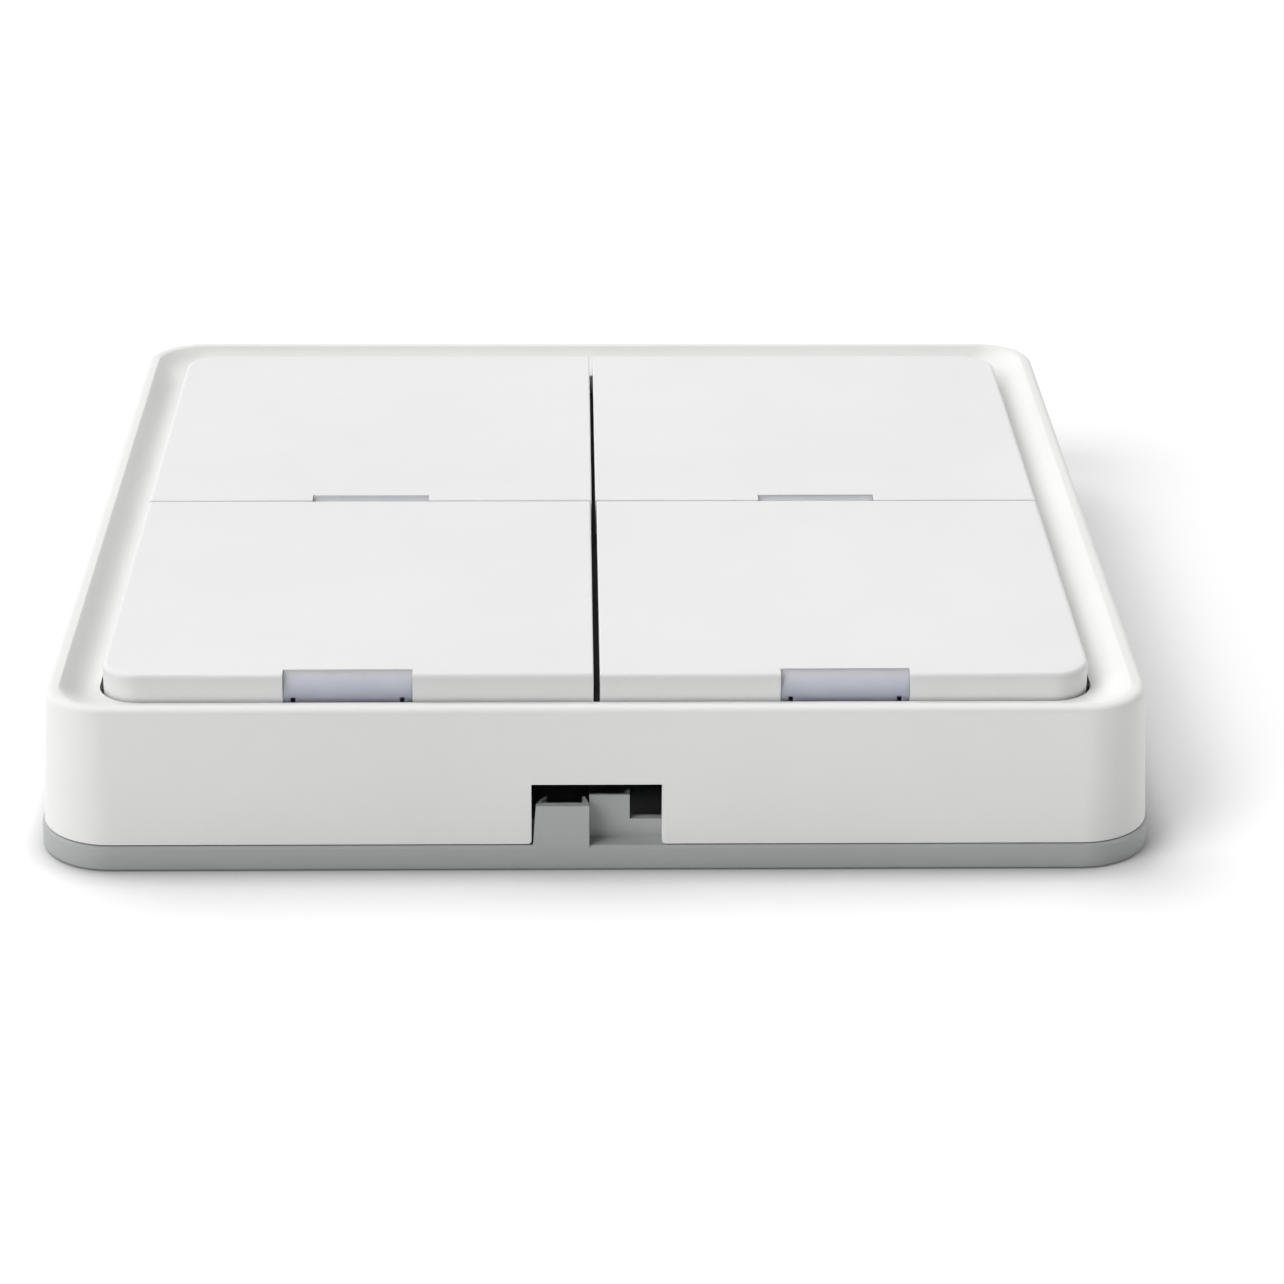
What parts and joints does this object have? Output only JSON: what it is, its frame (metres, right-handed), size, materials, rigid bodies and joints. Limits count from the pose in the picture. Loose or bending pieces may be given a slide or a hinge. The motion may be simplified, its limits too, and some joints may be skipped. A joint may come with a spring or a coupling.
{
  "type": "smart light switch",
  "caption": "Square wall switch: hinged keys with light windows in a frame with a raised rim, over a grey base plate with a release notch.",
  "frame": {"origin": "centre of the square base plate's back face, which lies on the wall", "axes": "+Z out of the wall, +Y up the wall, +X to the right of a person who faces the switch"},
  "size_m": [0.0864, 0.0864, 0.0138],
  "materials": {
    "cover_plastic": "moulded white plastic with a fine satin surface",
    "key_plastic": "moulded white plastic with a fine satin surface",
    "window_plastic": "smoky translucent plastic, polished",
    "base_plastic": "moulded grey plastic, fine spark-eroded texture",
    "carrier_plastic": "moulded dark plastic, satin",
    "board_laminate": "glass-fibre laminate under green solder mask",
    "radio_laminate": "glass-fibre laminate under blue solder mask",
    "screw_steel": "zinc-plated steel",
    "spring_steel": "bright spring steel",
    "cell_steel": "nickel-plated steel can",
    "contact_plating": "nickel-plated spring bronze",
    "shield_tin": "tin-plated sheet steel",
    "track_copper": "bare copper track",
    "holder_plastic": "moulded black plastic",
    "switch_plastic": "moulded black plastic",
    "plunger_plastic": "moulded brown-red plastic",
    "lamp_resin": "clear resin over a pale phosphor",
    "chip_ceramic": "tan ceramic with tinned ends",
    "pad_foam": "white foam tape"
  },
  "bodies": {
    "housing": {"base_plate": "base_plastic", "cover_frame": "cover_plastic", "key_carrier": "carrier_plastic", "circuit_board": "board_laminate", "board_screws": "screw_steel", "switch_springs": "spring_steel", "battery_holder": "holder_plastic", "coin_cell": "cell_steel", "battery_contact_positive": "contact_plating", "battery_contact_negative": "contact_plating", "radio_module": "radio_laminate", "radio_shield": "shield_tin", "radio_antenna": "track_copper", "status_leds": "lamp_resin", "board_chips": "chip_ceramic", "adhesive_pads": "pad_foam", "switch_body_upper_left": "switch_plastic", "switch_body_upper_right": "switch_plastic", "switch_body_lower_left": "switch_plastic", "switch_body_lower_right": "switch_plastic"},
    "upper_left_key": {"key_upper_left": "key_plastic", "window_upper_left": "window_plastic"},
    "upper_left_plunger": {"switch_plunger_upper_left": "plunger_plastic"},
    "upper_right_key": {"key_upper_right": "key_plastic", "window_upper_right": "window_plastic"},
    "upper_right_plunger": {"switch_plunger_upper_right": "plunger_plastic"},
    "lower_left_key": {"key_lower_left": "key_plastic", "window_lower_left": "window_plastic"},
    "lower_left_plunger": {"switch_plunger_lower_left": "plunger_plastic"},
    "lower_right_key": {"key_lower_right": "key_plastic", "window_lower_right": "window_plastic"},
    "lower_right_plunger": {"switch_plunger_lower_right": "plunger_plastic"}
  },
  "joints": [
    {"name": "upper_left_key_hinge", "type": "hinge", "parent": "housing", "child": "upper_left_key", "pos_m": [-0.01922, 0.03406, 0.011], "axis": [1, 0, 0], "range_deg": [0, 0.7], "stiffness_Nm_per_rad": 0.8, "springref_deg": -1.72},
    {"name": "upper_left_plunger_slide", "type": "slide", "parent": "housing", "child": "upper_left_plunger", "axis": [0, 0, -1], "range_m": [0, 0.0003], "stiffness_N_per_m": 0.01, "springref_m": -0.0219},
    {"name": "upper_right_key_hinge", "type": "hinge", "parent": "housing", "child": "upper_right_key", "pos_m": [0.01922, 0.03406, 0.011], "axis": [1, 0, 0], "range_deg": [0, 0.7], "stiffness_Nm_per_rad": 0.8, "springref_deg": -1.72},
    {"name": "upper_right_plunger_slide", "type": "slide", "parent": "housing", "child": "upper_right_plunger", "axis": [0, 0, -1], "range_m": [0, 0.0003], "stiffness_N_per_m": 0.01, "springref_m": -0.0219},
    {"name": "lower_left_key_hinge", "type": "hinge", "parent": "housing", "child": "lower_left_key", "pos_m": [-0.01922, -0.00373, 0.011], "axis": [1, 0, 0], "range_deg": [0, 0.7], "stiffness_Nm_per_rad": 0.8, "springref_deg": -1.72},
    {"name": "lower_left_plunger_slide", "type": "slide", "parent": "housing", "child": "lower_left_plunger", "axis": [0, 0, -1], "range_m": [0, 0.0003], "stiffness_N_per_m": 0.01, "springref_m": -0.0219},
    {"name": "lower_right_key_hinge", "type": "hinge", "parent": "housing", "child": "lower_right_key", "pos_m": [0.01922, -0.00373, 0.011], "axis": [1, 0, 0], "range_deg": [0, 0.7], "stiffness_Nm_per_rad": 0.8, "springref_deg": -1.72},
    {"name": "lower_right_plunger_slide", "type": "slide", "parent": "housing", "child": "lower_right_plunger", "axis": [0, 0, -1], "range_m": [0, 0.0003], "stiffness_N_per_m": 0.01, "springref_m": -0.0219}
  ],
  "couplings": [
    {"joint": "upper_left_plunger_slide", "follows": "upper_left_key_hinge", "m_per_rad": 0.0245},
    {"joint": "upper_right_plunger_slide", "follows": "upper_right_key_hinge", "m_per_rad": 0.0245},
    {"joint": "lower_left_plunger_slide", "follows": "lower_left_key_hinge", "m_per_rad": 0.0245},
    {"joint": "lower_right_plunger_slide", "follows": "lower_right_key_hinge", "m_per_rad": 0.0245}
  ]
}
